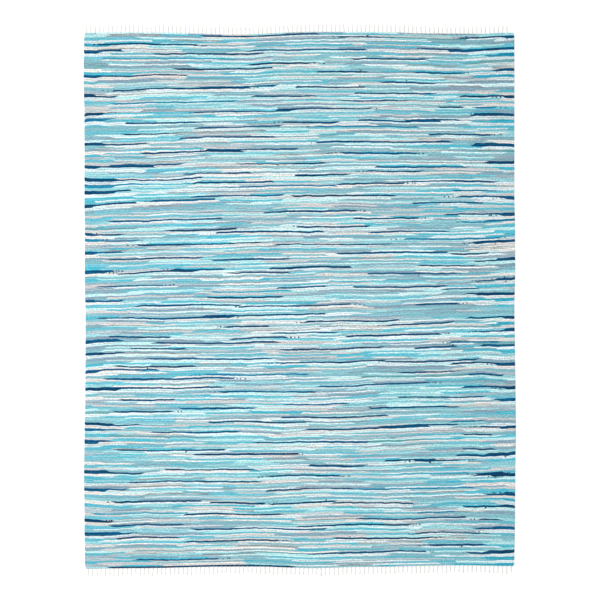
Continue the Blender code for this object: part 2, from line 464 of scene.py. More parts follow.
def soft_between(place, places, outs):
    """A smooth curve through a row of places, level at each."""
    index = np.clip(np.searchsorted(places, place, side="right") - 1, 0, len(places) - 2)
    low = np.asarray(places)[index]
    high = np.asarray(places)[index + 1]
    share = smooth((place - low) / (high - low))
    outs = np.asarray(outs)
    return outs[index] + (outs[index + 1] - outs[index]) * share


def listed(places, measure):
    """One measure of each place in a list."""
    return [getattr(place, measure) for place in places]


def end_out(end, across):
    """How far an end of the weave stands out past its straight line."""
    outs = listed(END_PLACES, "far_out" if end > 0 else "near_out")
    return soft_between(across, listed(END_PLACES, "across"), outs)


def side_out(side, along):
    """How far a long edge stands out past its straight line."""
    outs = listed(SIDE_PLACES, "right_out" if side > 0 else "left_out")
    return soft_between(along, listed(SIDE_PLACES, "along"), outs)


def softened(values, spread, axis):
    """The values blurred along one axis, with their edges held."""
    reach = int(math.ceil(3 * spread))
    steps = np.arange(-reach, reach + 1)
    weights = np.exp(-0.5 * (steps / spread) ** 2)
    weights /= weights.sum()
    pads = [(0, 0)] * values.ndim
    pads[axis] = (reach, reach)
    padded = np.pad(values, pads, mode="edge")
    return np.apply_along_axis(np.convolve, axis, padded, weights, "valid")


# ---- Weaving the strips -------------------------------------------------------------------
def lightness(shade):
    """How light a shade looks, from 0 for black to 1 for white."""
    red, green, blue = shade.colour
    return (0.30 * red + 0.59 * green + 0.11 * blue) / 255.0


def new_look(draw, shade, least_bulk=0.0):
    """One strip torn from a rag of this shade: its own tint, fade, fold and thickness."""
    tint = RAG_WHITE * draw.uniform(*TINT_RANGE)
    own = linear(shade.colour) * tint
    fold = linear(SHADE_BY_NAME[shade.fold].colour) * tint
    other = own + (fold - own) * draw.uniform(0.0, MOST_FADING)
    reach = draw.choice((-1, 1)) * draw.uniform(0.0, MOST_FOLD)
    bulk = max(shade.bulk, least_bulk) * draw.uniform(*BULK_RANGE)
    phase = draw.uniform(0.0, math.tau)
    stretch = draw.uniform(*FADING_LENGTH)
    return Look(shade.name, lightness(shade), bulk, own, other, fold, reach, phase, stretch)


def join_slant(draw):
    """A torn join's slant, either way."""
    return draw.uniform(*JOIN_SLANT) * draw.choice((-1, 1))


def pick_shade(draw, tone, share_of, dark_near, barred):
    """A shade near the tone that is wanted, as often as such rags are used."""
    weights = []
    for shade in SHADES:
        weight = share_of(shade) * math.exp(-(((shade.tone - tone) / TONE_SPREAD) ** 2))
        if lightness(shade) < DARK:
            weight *= math.exp(-DARK_APART * dark_near)
        weights.append(0.0 if shade.name == barred else weight)
    return draw.choices(SHADES, weights)[0]


def seen_above(rows, start, end):
    """The tone wanted below the last rows over a stretch, and how near dark strips lie above it."""
    tone = MEAN_TONE
    dark_near = 1.0 if len(rows) < LIGHT_ROWS else 0.0
    for back, pull in enumerate(TONE_PULLS[:len(rows)]):
        for strip in rows[-1 - back]:
            shared = (min(end, strip.end) - max(start, strip.start)) / (end - start)
            if shared > 0.0:
                tone -= pull * (strip.look.lightness - MEAN_TONE) * shared
                if strip.look.lightness < DARK:
                    dark_near += shared * max(0.0, 1.0 - back / DARK_ROWS)
    return tone, dark_near


def turn_looks(draw, count, navy_rows, first_pair_row, last_shade):
    """The strip at each turn of one selvedge, lighter and darker by turns, navy where charted."""
    navy = {int(round((row - first_pair_row) / 2)) for row in navy_rows}
    charted = {0: "aqua", count - 1: last_shade}
    looks = []
    tone = MEAN_TONE
    for turn in range(count):
        shade = pick_shade(draw, tone, lambda shade: shade.turns, 0.0, None)
        if turn in navy or turn in charted:
            shade = SHADE_BY_NAME[charted.get(turn, "navy")]
        tone = MEAN_TONE - TURN_PULL * (lightness(shade) - MEAN_TONE)
        looks.append(new_look(draw, shade, TURN_BULK))
    return looks


def turn_lengths(draw, count):
    """How far the strip at each turn reaches into the row before it and the row after it."""
    lengths = []
    for _ in range(count):
        whole = draw.uniform(*TURN_LENGTH)
        share = draw.uniform(*TURN_SPLIT)
        lengths.append((whole * share, whole * (1.0 - share)))
    return lengths


def side_tone(across):
    """How much lighter or darker the rags are at a place across the rug."""
    return float(np.interp(across, listed(TONE_PLACES, "across"), listed(TONE_PLACES, "tone")))


def fill_row(draw, rows, start, end):
    """The strips between the two turns of one row, each unlike what it lies beside."""
    strips = []
    last_name = None
    place = start
    for name, stop in EDGE_STRIPS.get(len(rows), ()):
        stop = min(stop, end)
        if stop > place:
            slant = join_slant(draw)
            strips.append(Strip(place, stop, slant, new_look(draw, SHADE_BY_NAME[name])))
            place = stop
    while place < end:
        length = draw.uniform(*STRIP_LENGTH)
        if end - place - length < SHORTEST_STRIP:
            length = end - place
        tone, dark_near = seen_above(rows, place, place + length)
        tone += side_tone(place + length / 2)
        shade = pick_shade(draw, tone, lambda shade: shade.field, dark_near, last_name)
        last_name = shade.name
        if lightness(shade) < DARK and place + length * DARK_STRETCH < end - SHORTEST_STRIP:
            length *= DARK_STRETCH
        slant = join_slant(draw)
        strips.append(Strip(place, place + length, slant, new_look(draw, shade)))
        place += length
    return strips


def weave_rows():
    """Every row's strips from left to right. Row 0 starts at the left and turns back at the right."""
    draw = random.Random(WEAVE_SEED)
    half = WOVEN_WIDTH / 2
    right_looks = turn_looks(draw, WEFT_ROWS // 2, NAVY_TURNS_RIGHT, 1, "teal")
    left_looks = turn_looks(draw, WEFT_ROWS // 2 + 1, NAVY_TURNS_LEFT, 0, "aqua")
    right_lengths = turn_lengths(draw, len(right_looks))
    left_lengths = turn_lengths(draw, len(left_looks))
    rows = []
    for row in range(WEFT_ROWS):
        right, left = row // 2, (row + 1) // 2
        start = left_lengths[left][(row + 1) % 2] - half
        end = half - right_lengths[right][row % 2]
        inner = fill_row(draw, rows, start, end)
        # A strip that turns ends in a wedge that lies along its own other half
        way = 1 if row % 2 else -1
        left_slant = way * draw.uniform(*TURN_SLANT)
        right_slant = way * draw.uniform(*TURN_SLANT)
        first = Strip(-half, start, left_slant, left_looks[left])
        inner[-1] = inner[-1]._replace(slant=right_slant)
        rows.append([first, *inner, Strip(end, half, 0.0, right_looks[right])])
    return rows


# ---- The places of the cloth's points -----------------------------------------------------
def row_columns():
    """The places across the rug of the top's columns, closer together at the selvedges."""
    warps = (np.arange(1, WARP_GAPS) / WARP_GAPS - 0.5) * WOVEN_WIDTH
    half = WOVEN_WIDTH / 2
    near_edge = np.array(SELVEDGE_OFFSETS)
    return np.concatenate(([-half], near_edge - half, warps, half - near_edge[::-1], [half]))


def warp_numbers(columns):
    """Each column's place counted in warps from the left selvedge."""
    return (columns / WOVEN_WIDTH + 0.5) * WARP_GAPS


def row_swell(rows, columns):
    """How thick each row is at each column, after its rags and where two of them overlap."""
    draw = np.random.default_rng(WEAVE_SEED)
    swell = np.ones((WEFT_ROWS, len(columns)))
    for row, strips in enumerate(rows):
        ends = [strip.end for strip in strips[:-1]]
        kind = np.searchsorted(ends, columns)
        swell[row] = np.array([strip.look.bulk for strip in strips])[kind]
        for end in ends:
            swell[row] += JOIN_SWELL * np.exp(-(((columns - end) / JOIN_SWELL_REACH) ** 2))
    wobble = softened(draw.normal(size=swell.shape), SWELL_SOFTNESS, 1)
    swell += wobble * WOBBLE_SHARE / wobble.std()
    swell = softened(swell, SWELL_SOFTNESS, 1)
    fine_wobble = softened(draw.normal(size=swell.shape), FINE_SOFTNESS, 1)
    swell += fine_wobble * FINE_WOBBLE_SHARE / fine_wobble.std()
    return swell / swell.mean()


def row_lie(along, across):
    """How far each line of the weave stands towards the far end, between the two ends."""
    places = listed(ROW_LIES, "along")
    rise = np.interp(along, places, listed(ROW_LIES, "rise"))
    hump = np.interp(along, places, listed(ROW_LIES, "hump"))
    share = across / WOVEN_WIDTH
    return rise * share + hump * np.cos(math.tau * share)


def row_lines(columns, swell):
    """The place along the rug of the line before each row and after the last, at each column."""
    line = np.arange(WEFT_ROWS + 1)[:, None]
    along = WOVEN_LENGTH / 2 - line * ROW_PITCH
    across = columns[None, :]
    # The rows take up the shape of an uneven end as they come nearer to it
    last_lie = ROW_LIES[-1].along
    follow_end = (np.abs(along) - last_lie) / (PANEL_LENGTH / 2 - last_lie)
    follow_end = np.clip(follow_end, 0.0, 1.0)
    outline = np.where(along > 0.0, end_out(1, across), -end_out(-1, across))
    lie = row_lie(along, across)
    lines = along + lie + follow_end * (outline - lie)
    # Thick rows push the next ones away until the beater evens them out
    pushed = np.zeros((WEFT_ROWS + 1, len(columns)))
    pushed[1:] = np.cumsum((swell - 1.0) * SWELL_SHARE * ROW_PITCH, axis=0)
    pushed -= softened(pushed, SETTLE_ROWS, 0)
    held = smooth(np.minimum(line, WEFT_ROWS - line) / CALM_ROWS)
    lines = lines - pushed * held
    # A puff over one warp leans into the dimple of the row beside it
    number = np.round(warp_numbers(columns))[None, :]
    inner = (np.abs(across) < WOVEN_WIDTH / 2 - TURN_REACH) & (line > 0) & (line < WEFT_ROWS)
    jitter = np.random.default_rng(WEAVE_SEED + 1).normal(size=lines.shape) * LINE_JITTER
    return lines + np.where(inner, WARP_NUDGE * (-1.0) ** (line + number) + jitter, 0.0)


def turn_share(side, line):
    """0 between two turns of a selvedge and 1 in the middle of a turn. Lines count in rows."""
    from_turn = line if side > 0 else line + 1.0
    return np.abs(np.sin(math.pi * from_turn / 2.0)) ** TURN_SQUARENESS


def place_across(columns, line):
    """Where each column lies at a line, after the long edges' own unevenness, turns and corners."""
    along = WOVEN_LENGTH / 2 - line * ROW_PITCH
    share = columns / WOVEN_WIDTH + 0.5
    corner = max(0.0, 1.0 - (WOVEN_LENGTH / 2 - abs(along)) / CORNER_REACH)
    across = columns + share * side_out(1, along) - (1.0 - share) * side_out(-1, along)
    for side in (-1, 1):
        near = np.exp((side * columns - WOVEN_WIDTH / 2) / TURN_REACH)
        out = TURN_BULGE * turn_share(side, line) - CORNER_DRAW * corner**2
        across = across + side * near * out
    return across


def crown(depth):
    """The rounded back of a row: 0 at its edges and 1 on its crest."""
    return np.sin(math.pi * depth) ** CROWN_POWER


def edge_round(columns):
    """0 at a selvedge, rising to 1 where the cloth has its full thickness."""
    inward = np.clip((WOVEN_WIDTH / 2 - np.abs(columns)) / SELVEDGE_RADIUS, 0.0, 1.0)
    return np.sqrt(np.maximum(0.0, 1.0 - (1.0 - inward) ** 2))


class Cloth:
    """The whole weave: the strips of each row and the points of its two faces."""

    def __init__(self):
        self.rows = weave_rows()
        self.columns = row_columns()
        self.swell = row_swell(self.rows, self.columns)
        self.lines = row_lines(self.columns, self.swell)
        draw = np.random.default_rng(WEAVE_SEED + 2)
        self.dimples = DIMPLE_DROP * draw.uniform(*DIMPLE_RANGE, size=(WEFT_ROWS, WARP_GAPS + 1))

    def along(self, row, depth, columns):
        """How far along the rug a row lies at a depth of 0 to 1 into it."""
        first = np.interp(columns, self.columns, self.lines[row])
        last = np.interp(columns, self.columns, self.lines[row + 1])
        return first + (last - first) * depth + MIDDLE_Y

    def crest_height(self, row, columns):
        """The height of a row's crest: high in its puffs, low where a warp holds it down."""
        number = np.round(warp_numbers(columns)).astype(int)
        dimple = np.where((number + row) % 2 == 0, self.dimples[row, number], 0.0)
        inner = np.abs(columns) < WOVEN_WIDTH / 2 - TURN_REACH
        swell = np.interp(columns, self.columns, self.swell[row])
        thin = np.clip(THICK_SWELL - swell, 0.0, THIN_MOST) * THIN_DROP
        return CREST - np.where(inner, dimple, SELVEDGE_DROP) - thin

    def top_height(self, row, depth, columns):
        """The height of the upper face at a depth into a row, with each turn filling its gap."""
        crest = self.crest_height(row, columns)
        valley = np.full(len(columns), VALLEY)
        for side in (-1, 1):
            near = np.exp(-(((WOVEN_WIDTH / 2 - side * columns) / TURN_REACH) ** 2))
            valley += near * (turn_share(side, row + depth) - TURN_LEVEL) * TURN_FILL
        valley = np.minimum(valley, TURN_TOP)
        return valley + (crest - valley) * crown(depth)

    def under_height(self, depth, columns):
        """The height of the under face at a depth into a row."""
        return np.full(len(columns), UNDER_VALLEY * (1.0 - crown(depth)))

    def points(self, row, depth, columns, top):
        """One line of points across a row, on its top or on its underside."""
        over = self.top_height(row, depth, columns)
        under = self.under_height(depth, columns)
        middle = (over + under) / 2
        height = middle + ((over if top else under) - middle) * edge_round(columns)
        across = place_across(columns, row + depth) + MIDDLE_X
        return np.stack((across, self.along(row, depth, columns), height), axis=1)

    def outer_points(self, row, out, columns, top):
        """The same for an outermost row, whose outer side is round: out is 1 on its outer edge."""
        depth = 1.0 - out if row == 0 else out
        crest = self.crest_height(row, columns)
        over = crest if out > 0.5 else self.top_height(row, depth, columns)
        under = 0.0 if out > 0.5 else self.under_height(depth, columns)
        middle = (over + under) / 2
        inward = min((1.0 - out) / OUTER_ROUND, 1.0)
        held = math.sqrt(1.0 - (1.0 - inward) ** 2) * edge_round(columns)
        height = middle + ((over if top else under) - middle) * held
        across = place_across(columns, row + depth) + MIDDLE_X
        return np.stack((across, self.along(row, depth, columns), height), axis=1)


cloth = Cloth()


# ---- Putting shades on the weave ----------------------------------------------------------
class RowShades:
    """What one row shows along a line of places: the strips on each side of the nearest join."""

    def __init__(self, strips, places):
        looks = [strip.look for strip in strips]
        ends = np.array([strip.end for strip in strips[:-1]])
        slants = np.array([strip.slant for strip in strips[:-1]])
        middles = (places[:-1] + places[1:]) / 2
        nearest = np.abs(middles[:, None] - ends[None, :]).argmin(axis=1)
        self.end = ends[nearest]
        self.slant = slants[nearest]
        self.near = self.shown(looks, nearest, places)
        self.next = self.shown(looks, nearest + 1, places)

    def shown(self, looks, kind, places):
        """Colour and fold of a strip at both ends of each stretch, the fold's reach as its alpha."""
        colour, other, fold, reach, phase, stretch = (
            np.array(listed(looks, measure))[kind]
            for measure in ("colour", "other", "fold", "reach", "phase", "stretch")
        )
        result = np.ones((len(kind), 2, 2, 4))
        for side, ends in enumerate((places[:-1], places[1:])):
            share = 0.5 + 0.5 * np.sin(phase + math.tau * ends / stretch)
            result[:, side, 0, :3] = colour + (other - colour) * share[:, None]
            result[:, side, 0, 3] = 0.5 + 0.5 * reach
            result[:, side, 1, :3] = fold
        return result


class Corners:
    """The face corners of a grid: which column and line each is at, and those of its face."""

    def __init__(self, mesh, column_of_point, line_of_point):
        vertex = np.empty(len(mesh.loops), dtype=np.int32)
        mesh.loops.foreach_get("vertex_index", vertex)
        self.column = column_of_point[vertex]
        self.line = line_of_point[vertex]
        self.face_column = np.repeat(self.column.reshape(-1, 4).min(axis=1), 4)
        self.face_line = np.repeat(self.line.reshape(-1, 4).min(axis=1), 4)


def shade_corners(mesh, corners, places, row_of_face_line, depths):
    """Store on each face corner the strips that it shows and how far past their join it lies.

    depths gives each face line's depth into its row at its first and its last line of points.
    """
    row = row_of_face_line[corners.face_line]
    first_row = row_of_face_line.min()
    shown = [RowShades(cloth.rows[index], places) for index in range(first_row, row.max() + 1)]
    pick = (row - first_row, corners.face_column)
    side = corners.column - corners.face_column
    depth = depths[corners.face_line, corners.line - corners.face_line]
    near = np.stack([shades.near for shades in shown])[pick[0], pick[1], side]
    following = np.stack([shades.next for shades in shown])[pick[0], pick[1], side]
    layers = {
        "strip": near[:, 0], "strip_fold": near[:, 1],
        "next_strip": following[:, 0], "next_fold": following[:, 1],
    }
    for name, values in layers.items():
        layer = mesh.attributes.new(name, "FLOAT_COLOR", "CORNER")
        layer.data.foreach_set("color", values.astype(np.float32).ravel())
    across = places[corners.column]
    end = np.stack([shades.end for shades in shown])[pick]
    slant = np.stack([shades.slant for shades in shown])[pick]
    past = across - end - slant * (depth - 0.5)
    join = mesh.attributes.new("past_join", "FLOAT", "CORNER")
    join.data.foreach_set("value", np.clip(past, -JOIN_SEEN, JOIN_SEEN).astype(np.float32))
    counted = np.stack((warp_numbers(across), row + depth), axis=1)
    weave = mesh.uv_layers.new(name=WEAVE_MAP)
    weave.data.foreach_set("uv", counted.astype(np.float32).ravel())


def lay_bake_map(mesh, across, up):
    """The map that the finished colours are baked on, from 0 to 1 both ways."""
    bake = mesh.uv_layers.new(name=BAKE_MAP)
    spread = np.stack((across, up), axis=1)
    bake.data.foreach_set("uv", spread.astype(np.float32).ravel())


# ---- Cloth as closed meshes ---------------------------------------------------------------
def shaped_grid(name, points):
    """A grid primitive with its points at their places, and the column and line of each point."""
    lines, columns = points.shape[:2]
    bpy.ops.object.select_all(action="DESELECT")
    bpy.ops.mesh.primitive_grid_add(
        x_subdivisions=columns - 1, y_subdivisions=lines - 1, size=2.0, calc_uvs=False
    )
    piece = bpy.context.object
    piece.name = name
    piece.data.name = name
    flat = np.empty(len(piece.data.vertices) * 3, dtype=np.float32)
    piece.data.vertices.foreach_get("co", flat)
    flat = flat.reshape(-1, 3)
    column = np.rint((flat[:, 0] + 1.0) / 2.0 * (columns - 1)).astype(int)
    line = np.rint((flat[:, 1] + 1.0) / 2.0 * (lines - 1)).astype(int)
    piece.data.vertices.foreach_set("co", points[line, column].astype(np.float32).ravel())
    return piece, column, line


def close_piece(piece):
    """Merge the edges that meet, fill what is still open with sharp-edged caps, and face outwards."""
    bpy.ops.object.shade_smooth()
    bpy.ops.object.mode_set(mode="EDIT")
    bpy.ops.mesh.select_mode(type="EDGE")
    bpy.ops.mesh.select_all(action="SELECT")
    bpy.ops.mesh.remove_doubles(threshold=MERGE_DISTANCE)
    bpy.ops.mesh.select_all(action="DESELECT")
    bpy.ops.mesh.select_non_manifold(
        use_wire=False, use_boundary=True, use_multi_face=False,
        use_non_contiguous=False, use_verts=False,
    )
    bpy.ops.mesh.mark_sharp()
    bpy.ops.mesh.fill_holes(sides=0)
    bpy.ops.mesh.select_all(action="SELECT")
    bpy.ops.mesh.normals_make_consistent(inside=False)
    bpy.ops.object.mode_set(mode="OBJECT")
    piece.data.update()


def tuck_caps(mesh):
    """Lay the hidden caps in a thin strip of the bake map, clear of the cloth's own part of it."""
    bake = mesh.uv_layers[BAKE_MAP].data
    for face in mesh.polygons:
        if face.loop_total > 4:
            for corner in face.loop_indices:
                across, up = bake[corner].uv
                bake[corner].uv = (across, BAKE_MARGIN / (2 if up > 0.5 else 8))


def finish_piece(piece, material, node, slot):
    """Dress a piece, and say which node it stands for and which slot it takes its finish from."""
    piece.data.materials.clear()
    piece.data.materials.append(material)
    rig.ride(piece, "root")
    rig.replaces(piece, node)
    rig.slot(piece, slot)
    return piece


def cloth_band(index, first_row, last_row, material, with_pieces):
    """The rows from first_row up to last_row: a flat sleeve, capped where it meets its neighbours."""
    top = cloth.columns
    inner = np.linspace(-0.5, 0.5, UNDER_COLUMNS + 1)[1:-1] * (WOVEN_WIDTH - 4 * SELVEDGE_RADIUS)
    near_edge = WOVEN_WIDTH / 2 - np.array(SELVEDGE_OFFSETS)
    under = np.concatenate((near_edge, inner[::-1], -near_edge[::-1]))
    lines = [(row, depth) for row in range(first_row, last_row) for depth in ROW_LINES]
    lines.append((last_row - 1, 1.0))
    points = []
    for row, depth in lines:
        over = cloth.points(row, depth, top, True)
        beneath = cloth.points(row, depth, under, False)
        points.append(np.concatenate((over, beneath, over[:1])))
    piece, column, line = shaped_grid(f"cloth_band_{index + 1}", np.stack(points))
    mesh = piece.data
    corners = Corners(mesh, column, line)
    places = np.concatenate((top, under, top[:1]))
    row_of_face_line = np.array([row for row, _ in lines[:-1]])
    depths = list(zip(ROW_LINES, ROW_LINES[1:] + (1.0,))) * (last_row - first_row)
    shade_corners(mesh, corners, places, row_of_face_line, np.array(depths))
    # On the bake map the underside lies below and the top above
    on_top = corners.face_column < len(top) - 1
    across = BAKE_MARGIN + (places[corners.column] / WOVEN_WIDTH + 0.5) * (1.0 - 2 * BAKE_MARGIN)
    up = BAKE_MARGIN + (1.0 - corners.line / (len(points) - 1)) * (0.5 - 2 * BAKE_MARGIN)
    lay_bake_map(mesh, across, up + np.where(on_top, 0.5, 0.0))
    close_piece(piece)
    tuck_caps(mesh)
    finish_piece(piece, material, "woven_panel", "rag_weave")
    flat = (WOVEN_WIDTH, (last_row - first_row) * ROW_PITCH)
    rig.sheet(piece, flat=flat, held="laid", rests_on=[floor], with_pieces=with_pieces)


def outer_row(name, row, material, node):
    """The outermost row of an end as one round-edged strip, which the strands come out of."""
    ring = [(out, True) for out in OUTER_RING] + [(1.0, True)]
    ring += [(out, False) for out in reversed(OUTER_RING)] + [(0.0, True)]
    points = np.stack([cloth.outer_points(row, out, cloth.columns, top) for out, top in ring])
    piece, column, line = shaped_grid(name, points)
    mesh = piece.data
    corners = Corners(mesh, column, line)
    # The outer side lies beside no other row, so it gets no painted shade of a gap between rows
    shaded = [min(out, OUTER_SHADE) for out, _ in ring]
    depth = np.array([1.0 - out if row == 0 else out for out in shaded])
    depths = np.stack((depth[:-1], depth[1:]), axis=1)
    shade_corners(mesh, corners, cloth.columns, np.full(len(ring) - 1, row), depths)
    stretches = len(cloth.columns) - 1
    shelf = corners.face_column * OUTER_SHELVES // stretches
    across = corners.column * OUTER_SHELVES / stretches - shelf
    on_shelf = SHELF_MARGIN + (1.0 - 2 * SHELF_MARGIN) * corners.line / (len(ring) - 1)
    up = (shelf + on_shelf) / OUTER_SHELVES
    lay_bake_map(mesh, np.clip(across, 0.0, 1.0), up)
    close_piece(piece)
    return finish_piece(piece, material, node, "rag_weave")


# ---- Torn ends ----------------------------------------------------------------------------
def tuft_places(draw):
    """The row, place and look of each torn end."""
    places = []
    for row in range(2, WEFT_ROWS - 2):
        for before, after in zip(cloth.rows[row], cloth.rows[row][1:]):
            for strip, side in ((before, 1), (after, -1)):
                if strip.look.lightness > TUFT_DARK or draw.random() > TUFT_SHARE:
                    continue
                across = before.end
                for _ in range(draw.randint(1, TUFTS_TOGETHER)):
                    across += side * draw.uniform(*TUFT_STEP)
                    places.append((row, across, strip.look))
            if after.look.lightness < TUFT_DARK and draw.random() < LOOSE_TUFT_SHARE:
                beside = row + draw.choice((-1, 1))
                places.append((beside, draw.uniform(after.start, after.end), after.look))
    return [place for place in places if abs(place[1]) < WOVEN_WIDTH / 2 - TUFT_INSET]


def shaped_tuft(model, cell, row, across, look, draw):
    """A copy of the model as one uneven lump, half sunk in its row, with its shade and maps."""
    mesh = model.data.copy()
    piece = bpy.data.objects.new("tuft", mesh)
    bpy.context.collection.objects.link(piece)
    place = np.array([across])
    centre_x = float(place_across(place, row + 0.5)[0]) + MIDDLE_X
    centre_y = float(cloth.along(row, 0.5, place)[0])
    centre_z = float(cloth.crest_height(row, place)[0]) - TUFT_SUNK
    length, width = draw.uniform(*TUFT_LENGTH), draw.uniform(*TUFT_WIDTH)
    turn = draw.uniform(-TUFT_TURN, TUFT_TURN)
    # No stitch shows between two warps, and no painted shade of a gap in the middle of a row
    between_warps = math.floor(float(warp_numbers(across))) + 0.5
    warps, rows = TUFT_ON_WEAVE
    counted = []
    for vertex in mesh.vertices:
        swell = draw.uniform(*TUFT_UNEVEN)
        forward = vertex.co.x * length / 2 * swell
        sideways = vertex.co.y * width / 2 * swell * (1.0 - TUFT_TAPER * vertex.co.x)
        up = vertex.co.z * TUFT_HEIGHT / 2 * swell
        counted.append((between_warps + warps * vertex.co.x, row + 0.5 + rows * vertex.co.y))
        x = centre_x + forward * math.cos(turn) - sideways * math.sin(turn)
        y = centre_y + forward * math.sin(turn) + sideways * math.cos(turn)
        vertex.co = (x, y, centre_z + up)
    weave = mesh.uv_layers.new(name=WEAVE_MAP).data
    bake = mesh.uv_layers[BAKE_MAP].data
    column, line = cell % TUFT_CELLS, cell // TUFT_CELLS
    for loop in mesh.loops:
        weave[loop.index].uv = counted[loop.vertex_index]
        u, v = (CELL_MARGIN + (1.0 - 2 * CELL_MARGIN) * share for share in bake[loop.index].uv)
        bake[loop.index].uv = ((column + u) / TUFT_CELLS, (line + v) / TUFT_CELLS)
    for name in ("strip", "next_strip", "strip_fold", "next_fold"):
        colour = look.fold if name.endswith("fold") else look.colour
        layer = mesh.attributes.new(name, "FLOAT_COLOR", "CORNER")
        layer.data.foreach_set("color", np.tile((*colour, 0.5), len(mesh.loops)).astype(np.float32))
    join = mesh.attributes.new("past_join", "FLOAT", "CORNER")
    join.data.foreach_set("value", np.full(len(mesh.loops), -JOIN_SEEN, dtype=np.float32))
    return piece


def rag_tufts(material):
    """All the torn ends as one joined mesh."""
    draw = random.Random(TUFT_SEED)
    bpy.ops.object.select_all(action="DESELECT")
    bpy.ops.mesh.primitive_uv_sphere_add(
        segments=TUFT_SEGMENTS, ring_count=TUFT_RINGS, radius=1.0,
        location=(0.0, 0.0, 0.0), calc_uvs=True,
    )
    model = bpy.context.object
    model.data.uv_layers[0].name = BAKE_MAP
    places = tuft_places(draw)[:TUFT_CELLS**2]
    pieces = [shaped_tuft(model, cell, *place, draw) for cell, place in enumerate(places)]
    bpy.data.objects.remove(model, do_unlink=True)
    return finish_piece(joined(pieces, "rag_tufts"), material, "woven_panel", "rag_weave")


def joined(pieces, name):
    """The pieces as one smooth mesh that faces outwards."""
    bpy.ops.object.select_all(action="DESELECT")
    for piece in pieces:
        piece.select_set(True)
    bpy.context.view_layer.objects.active = pieces[0]
    bpy.ops.object.join()
    whole = bpy.context.object
    whole.name = name
    whole.data.name = name
    bpy.ops.object.mode_set(mode="EDIT")
    bpy.ops.mesh.select_all(action="SELECT")
    bpy.ops.mesh.normals_make_consistent(inside=False)
    bpy.ops.object.mode_set(mode="OBJECT")
    bpy.ops.object.shade_smooth()
    return whole


# ---- The fringe ---------------------------------------------------------------------------
def strand_model():
    """A straight cord of rings along Y, from 0 at its root to 1 at its tip, one unit thick."""
    bpy.ops.object.select_all(action="DESELECT")
    bpy.ops.mesh.primitive_cylinder_add(
        vertices=STRAND_SIDES, radius=1.0, depth=1.0,
        location=(0.0, 0.5, 0.0), rotation=(-math.pi / 2, 0.0, 0.0),
    )
    model = bpy.context.object
    bpy.ops.object.transform_apply(location=True, rotation=True, scale=True)
    # The long edges alone are cut into rings
    for edge in model.data.edges:
        ends = [model.data.vertices[index].co.y for index in edge.vertices]
        edge.select = abs(ends[0] - ends[1]) > 0.5
    for face in model.data.polygons:
        face.select = False
    for vertex in model.data.vertices:
        vertex.select = False
    bpy.ops.object.mode_set(mode="EDIT")
    bpy.ops.mesh.select_mode(type="EDGE")
    bpy.ops.mesh.subdivide(number_cuts=len(STRAND_RINGS) - 2)
    bpy.ops.object.mode_set(mode="OBJECT")
    return model


def bent_strand(model, fringe, across, length, lean, draw):
    """A copy of the model, bent down to the floor from inside the outermost row."""
    piece = bpy.data.objects.new("strand", model.data.copy())
    bpy.context.collection.objects.link(piece)
    turn = draw.uniform(0.0, math.tau)
    knot_shift = draw.uniform(-KNOT_SHIFT, KNOT_SHIFT)
    thickness = draw.uniform(*STRAND_THICKNESS)
    sway = draw.uniform(-STRAND_SWAY, STRAND_SWAY)
    for vertex in piece.data.vertices:
        ring = STRAND_RINGS[round(vertex.co.y * (len(STRAND_RINGS) - 1))]
        share = ring.share + (knot_shift if KNOT_FROM < ring.share < KNOT_TO else 0.0)
        reach = -STRAND_ROOT_DEPTH + share * (length + STRAND_ROOT_DEPTH)
        angle = math.atan2(vertex.co.z, vertex.co.x)
        twisted = angle - turn - share * STRAND_TURNS * math.tau
        lobed = 1.0 + STRAND_LOBES * math.cos(STRAND_PLIES * twisted)
        side = math.cos(angle) * ring.width / 2 * lobed * thickness
        up = math.sin(angle) * ring.height / 2 * lobed
        near_root = max(0.0, 1.0 - (reach - STRAND_ROOT_START) / STRAND_ROOT_REACH)
        lift = ring.height / 2 * STRAND_CLEARANCE + near_root**2 * STRAND_ROOT_LIFT
        centre = across + lean * max(share, 0.0) ** 2 + sway * math.sin(share * math.tau)
        along = end_edge(fringe.end, across) + fringe.end * reach
        vertex.co = (centre + side + MIDDLE_X, along + MIDDLE_Y, max(lift + up, 0.0))
    return piece


def end_edge(end, across):
    """The outer edge of the weave at a place across it."""
    return end * (WOVEN_LENGTH / 2 + float(end_out(end, np.array(across))))


def fringe_strands(name, fringe, material):
    """All the strands of one end, each in its own length and lean, as one joined mesh."""
    draw = random.Random(fringe.length_seed)
    own = random.Random(fringe.bend_seed)
    model = strand_model()
    pieces = []
    for index in range(STRANDS):
        across = fringe.first + (fringe.last - fringe.first) * index / (STRANDS - 1)
        length = draw.uniform(fringe.shortest, fringe.longest)
        lean = draw.uniform(-STRAND_LEAN, STRAND_LEAN)
        pieces.append(bent_strand(model, fringe, across, length, lean, own))
    bpy.data.objects.remove(model, do_unlink=True)
    return finish_piece(joined(pieces, name), material, fringe.node, "cotton_warp")


# ---- Finishes -----------------------------------------------------------------------------
# The colour of the painted shade in the gaps between rows
GAP_SHADE_COLOUR = (0.010, 0.042, 0.060, 1.0)
STITCH_COLOUR = (0.62, 0.59, 0.53, 1.0)
# The cotton in the painted shade of its twist's grooves, and on its plies
COTTON_DARK = (0.600, 0.605, 0.565, 1.0)
COTTON_LIGHT = (0.830, 0.825, 0.785, 1.0)
FLOOR_COLOUR = (0.92, 0.92, 0.92, 1.0)
# The grain of each noise on the weave: how often it changes in a warp's and in a row's width
WANDER_GRAIN = (0.22, 1.0, 1.0)
TORN_GRAIN = (1.6, 3.0, 1.0)
CREASE_GRAIN = (0.22, 5.5, 1.0)
FADING_GRAIN = (0.10, 0.9, 1.0)
PUCKER_GRAIN = (2.0, 0.95, 1.0)
# How far a torn join frays along the row, and how soft its edge is
FRAY_LENGTH = 0.024
FRAY_EDGE = 0.0008
FOLD_EDGE = 0.05
# Where the painted shade of the gap between two rows begins and is darkest, in rows from the crest, and how dark it
# gets
GAP_SHADE_START, GAP_SHADE_END = 0.36, 0.50
GAP_SHADE_STRENGTH = 0.55
